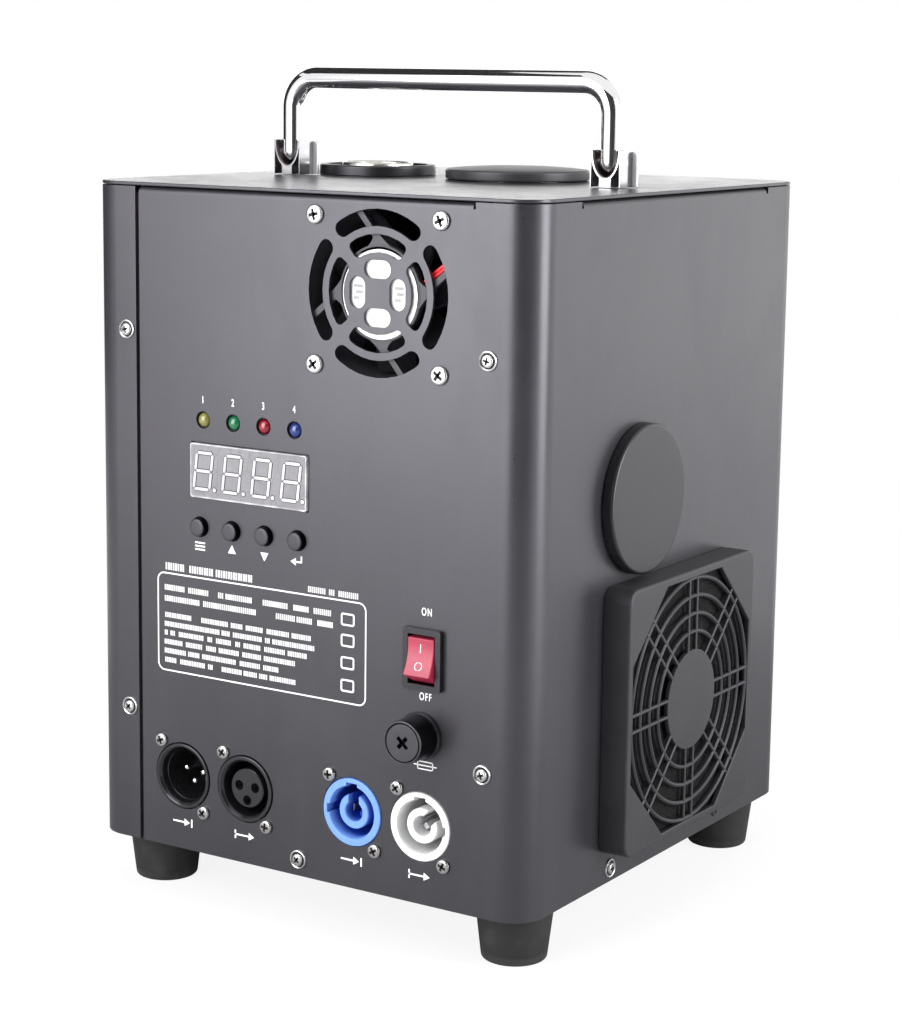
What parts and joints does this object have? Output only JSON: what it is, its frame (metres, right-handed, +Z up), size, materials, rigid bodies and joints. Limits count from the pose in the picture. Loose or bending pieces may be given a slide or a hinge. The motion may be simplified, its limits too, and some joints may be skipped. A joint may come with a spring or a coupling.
{
  "type": "cold spark machine",
  "caption": "Upright folded-sheet stage effect machine with carrying handle, granule hopper under a round lid, spark nozzle, control panel, sockets, fans and filter.",
  "frame": {"origin": "Middle of the footprint of the whole part at rest, on the surface that the feet stand on.", "axes": "+Z up; the control panel faces -Y; +X is to the right when one looks at the control panel, towards the filter side."},
  "size_m": [0.1958, 0.2054, 0.2977],
  "materials": {
    "black_sheet": "fine black powder coat",
    "black_plastic": "matt black moulded plastic",
    "rubber": "matt black rubber",
    "chrome": "polished chrome plate",
    "steel": "plain stainless steel",
    "nozzle_steel": "bright turned steel, worn by heat",
    "zinc_sheet": "zinc-plated sheet",
    "lid_plastic": "matt black turned lid",
    "filter_plastic": "textured dark grey plastic",
    "foam": "open black filter foam",
    "fan_plastic": "black fan plastic",
    "led_yellow": "tinted clear lens, unlit",
    "led_green": "tinted clear lens, unlit",
    "led_red": "tinted clear lens, unlit",
    "led_blue": "tinted clear lens, unlit",
    "display": "grey diffusing window, unlit",
    "red_rocker": "translucent red plastic",
    "blue_plastic": "blue moulded plastic",
    "white_plastic": "white moulded plastic",
    "circuit_board": "green circuit board",
    "ceramic_fibre": "pale insulating fibre",
    "heating_wire": "heat-browned resistance wire",
    "glass_tube": "glass tube with plated end caps",
    "red_lead": "red wire insulation"
  },
  "bodies": {
    "housing": {"wrap_shell": "black_sheet", "left_cover": "black_sheet", "top_plate": "black_sheet", "base_plate": "black_sheet", "foot_front_left": "rubber", "foot_front_right": "rubber", "foot_back_left": "rubber", "foot_back_right": "rubber", "handle_bracket_left": "chrome", "handle_bracket_right": "chrome", "handle_pin_left": "chrome", "handle_pin_right": "chrome", "outlet_rim": "black_plastic", "spark_nozzle": "nozzle_steel", "hopper_cup": "steel", "hopper_funnel": "steel", "led_yellow": "led_yellow", "led_green": "led_green", "led_red": "led_red", "led_blue": "led_blue", "display_module": "display", "display_board": "circuit_board", "rocker_bezel": "black_plastic", "fuse_holder": "black_plastic", "signal_inlet": "black_plastic", "signal_outlet": "black_plastic", "power_inlet": "blue_plastic", "power_outlet": "white_plastic", "exhaust_fan_frame": "fan_plastic", "intake_fan_frame": "fan_plastic", "filter_guard": "fan_plastic", "furnace_stand": "zinc_sheet", "furnace_jacket": "ceramic_fibre", "furnace_cap": "steel", "heater_core": "steel", "heater_coil": "heating_wire", "feed_tube": "steel", "feed_motor": "zinc_sheet", "blower_housing": "fan_plastic", "power_supply": "zinc_sheet", "main_board": "circuit_board", "fan_lead": "red_lead"},
    "handle": {"carry_handle": "chrome"},
    "button_a": {"button_1": "black_plastic"},
    "button_b": {"button_2": "black_plastic"},
    "button_c": {"button_3": "black_plastic"},
    "button_d": {"button_4": "black_plastic"},
    "rocker": {"power_rocker": "red_rocker"},
    "fuse_carrier": {"fuse_link": "glass_tube"},
    "fuse_screw_cap": {"fuse_cap": "black_plastic"},
    "exhaust_rotor": {"exhaust_fan_rotor": "fan_plastic"},
    "intake_rotor": {"intake_fan_rotor": "fan_plastic"},
    "filter": {"filter_cover": "filter_plastic", "filter_foam": "foam"},
    "port_cover": {"port_cap": "black_plastic"},
    "lid": {"hopper_lid": "lid_plastic"},
    "screw": {"feed_screw": "steel"},
    "wheel": {"blower_wheel": "fan_plastic"}
  },
  "joints": [
    {"name": "handle_fold", "type": "hinge", "parent": "housing", "child": "handle", "pos_m": [-0.00535, -0.00235, 0.2663], "axis": [1, 0, 0], "range_deg": [0, 90]},
    {"name": "press_button_1", "type": "slide", "parent": "housing", "child": "button_a", "axis": [0, 1, 0], "range_m": [0, 0.0005], "stiffness_N_per_m": 400},
    {"name": "press_button_2", "type": "slide", "parent": "housing", "child": "button_b", "axis": [0, 1, 0], "range_m": [0, 0.0005], "stiffness_N_per_m": 400},
    {"name": "press_button_3", "type": "slide", "parent": "housing", "child": "button_c", "axis": [0, 1, 0], "range_m": [0, 0.0005], "stiffness_N_per_m": 400},
    {"name": "press_button_4", "type": "slide", "parent": "housing", "child": "button_d", "axis": [0, 1, 0], "range_m": [0, 0.0005], "stiffness_N_per_m": 400},
    {"name": "rocker_tip", "type": "hinge", "parent": "housing", "child": "rocker", "pos_m": [0.04665, -0.08985, 0.1045], "axis": [1, 0, 0], "range_deg": [0, 26]},
    {"name": "fuse_pull", "type": "slide", "parent": "housing", "child": "fuse_carrier", "axis": [0, -1, 0], "range_m": [0, 0.04]},
    {"name": "fuse_turn", "type": "hinge", "parent": "fuse_carrier", "child": "fuse_screw_cap", "pos_m": [0.04565, -0.09135, 0.0781], "axis": [0, -1, 0], "range_deg": [0, 90]},
    {"name": "exhaust_spin", "type": "hinge", "parent": "housing", "child": "exhaust_rotor", "pos_m": [0.02645, -0.07735, 0.2246], "axis": [0, 1, 0], "continuous": true},
    {"name": "intake_spin", "type": "hinge", "parent": "housing", "child": "intake_rotor", "pos_m": [0.07265, 0.00395, 0.0781], "axis": [1, 0, 0], "continuous": true},
    {"name": "filter_pull", "type": "slide", "parent": "housing", "child": "filter", "axis": [1, 0, 0], "range_m": [0, 0.03]},
    {"name": "port_pull", "type": "slide", "parent": "housing", "child": "port_cover", "axis": [1, 0, 0], "range_m": [0, 0.02]},
    {"name": "lid_lift", "type": "slide", "parent": "housing", "child": "lid", "axis": [0, 0, 1], "range_m": [0, 0.024]},
    {"name": "feed_turn", "type": "hinge", "parent": "housing", "child": "screw", "pos_m": [-0.00535, 0.02565, 0.1713], "axis": [1, 0, 0], "continuous": true},
    {"name": "blower_spin", "type": "hinge", "parent": "housing", "child": "wheel", "pos_m": [-0.02965, 0.02565, 0.0573], "axis": [0, 1, 0], "continuous": true}
  ]
}
